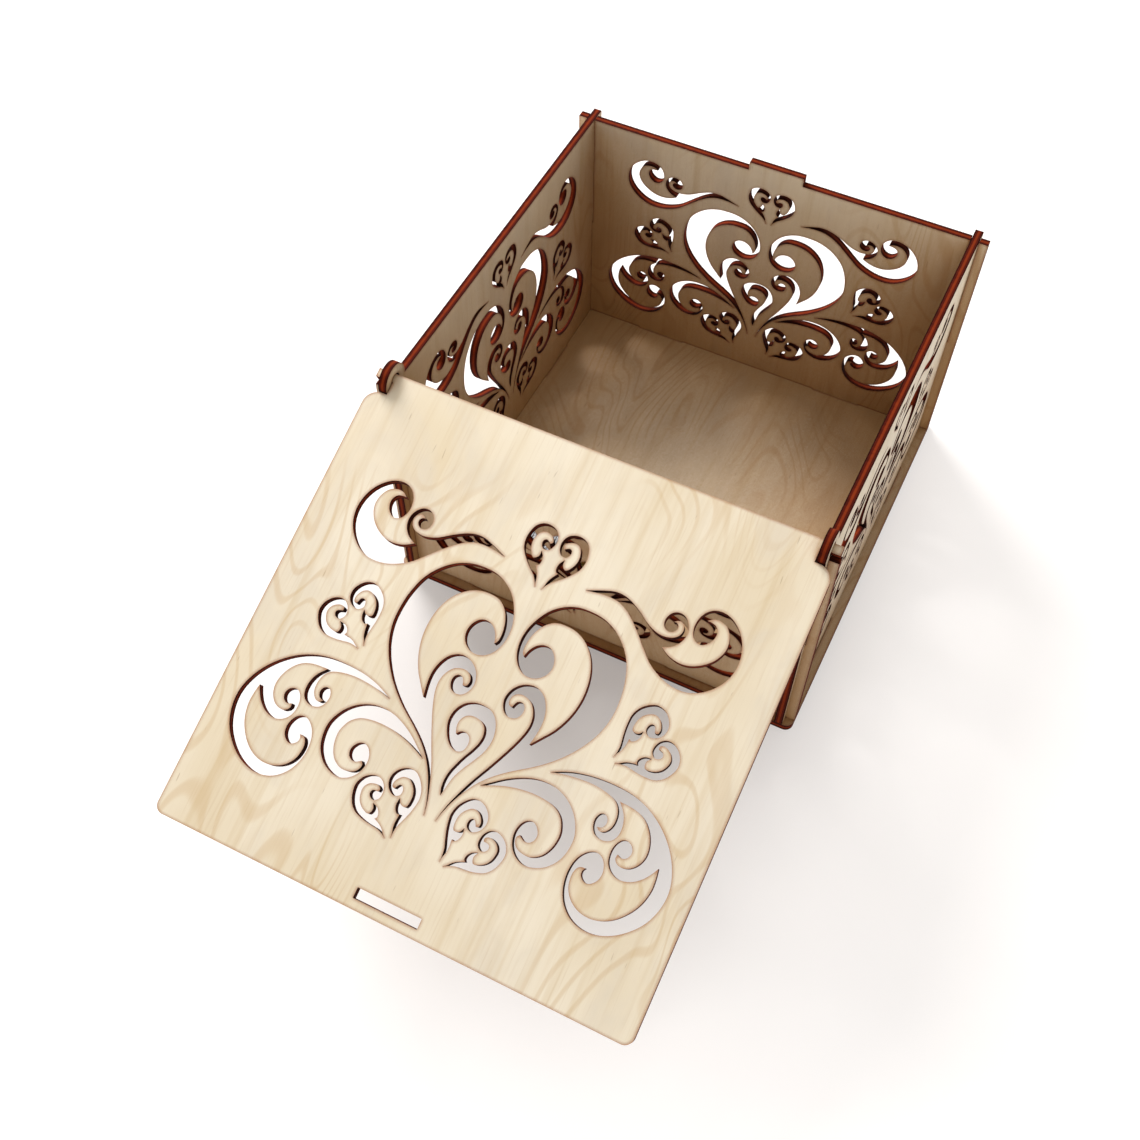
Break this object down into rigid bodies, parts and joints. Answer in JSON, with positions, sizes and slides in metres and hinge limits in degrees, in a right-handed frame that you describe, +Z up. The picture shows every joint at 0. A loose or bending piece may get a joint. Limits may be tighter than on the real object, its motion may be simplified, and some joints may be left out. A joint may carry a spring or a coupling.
{
  "type": "wind up music box",
  "caption": "Square plywood box with open scroll filigree on every side, a hinged filigree lid folded back, and a key-wound comb movement on the floor inside.",
  "frame": {"origin": "centre of the base plate's underside", "axes": "+Z up, +X along the hinge towards the winding key's wall, +Y to the back, where the lid is hinged; the lid's closing tab is on the -Y wall"},
  "size_m": [0.1739, 0.299, 0.1105],
  "materials": {
    "plywood": "raw sanded birch plywood, laser-charred at every cut",
    "zinc": "bare die-cast zinc",
    "brass": "satin brass",
    "steel": "ground steel",
    "blued_steel": "blued spring steel"
  },
  "bodies": {
    "box": {"base_plate": "plywood", "front_wall": "plywood", "back_wall": "plywood", "right_wall": "plywood", "left_wall": "plywood", "bed_plate": "zinc", "comb_base": "zinc", "comb": "steel", "barrel_bracket": "brass", "cylinder_bracket": "brass", "governor_bracket": "brass", "idler_post": "brass", "bed_screw_1": "steel", "bed_screw_2": "steel", "bed_screw_3": "steel", "bed_screw_4": "steel", "barrel_bracket_screw_1": "steel", "barrel_bracket_screw_2": "steel", "cylinder_bracket_screw_1": "steel", "cylinder_bracket_screw_2": "steel", "governor_bracket_screw": "steel", "comb_screw_1": "steel", "comb_screw_2": "steel", "click_screw": "steel", "click_spring": "blued_steel"},
    "lid": {"lid": "plywood"},
    "winder": {"winding_arbor": "steel", "ratchet_wheel": "steel", "winding_key": "brass"},
    "cylinder": {"music_cylinder": "brass", "cylinder_gear": "brass", "cylinder_arbor": "steel", "spring_barrel": "brass", "barrel_cover": "brass", "mainspring": "blued_steel"},
    "idler": {"idler_pinion": "steel", "idler_wheel": "brass", "idler_arbor": "steel"},
    "governor": {"governor_worm": "steel", "governor_fan": "brass"},
    "click": {"click": "steel"}
  },
  "joints": [
    {"name": "lid_hinge", "type": "hinge", "parent": "box", "child": "lid", "pos_m": [0, 0.0742, 0.1047], "axis": [1, 0, 0], "range_deg": [0, 200.5]},
    {"name": "winder_spin", "type": "hinge", "parent": "box", "child": "winder", "pos_m": [0.077, 0.031, 0.0145], "axis": [1, 0, 0], "continuous": true},
    {"name": "cylinder_spin", "type": "hinge", "parent": "box", "child": "cylinder", "pos_m": [0.0365, 0.031, 0.0145], "axis": [1, 0, 0], "continuous": true},
    {"name": "idler_spin", "type": "hinge", "parent": "box", "child": "idler", "pos_m": [0.017, 0.039, 0.0205], "axis": [1, 0, 0], "continuous": true},
    {"name": "governor_spin", "type": "hinge", "parent": "box", "child": "governor", "pos_m": [0.0131, 0.0471, 0.02], "axis": [0, 0, 1], "continuous": true},
    {"name": "click_hinge", "type": "hinge", "parent": "box", "child": "click", "pos_m": [0.068, 0.0405, 0.0205], "axis": [1, 0, 0], "range_deg": [0, 12], "stiffness_Nm_per_rad": 0.0001, "springref_deg": -17.19}
  ],
  "couplings": [
    {"joint": "idler_spin", "follows": "cylinder_spin", "ratio": -4},
    {"joint": "governor_spin", "follows": "cylinder_spin", "ratio": 48}
  ]
}
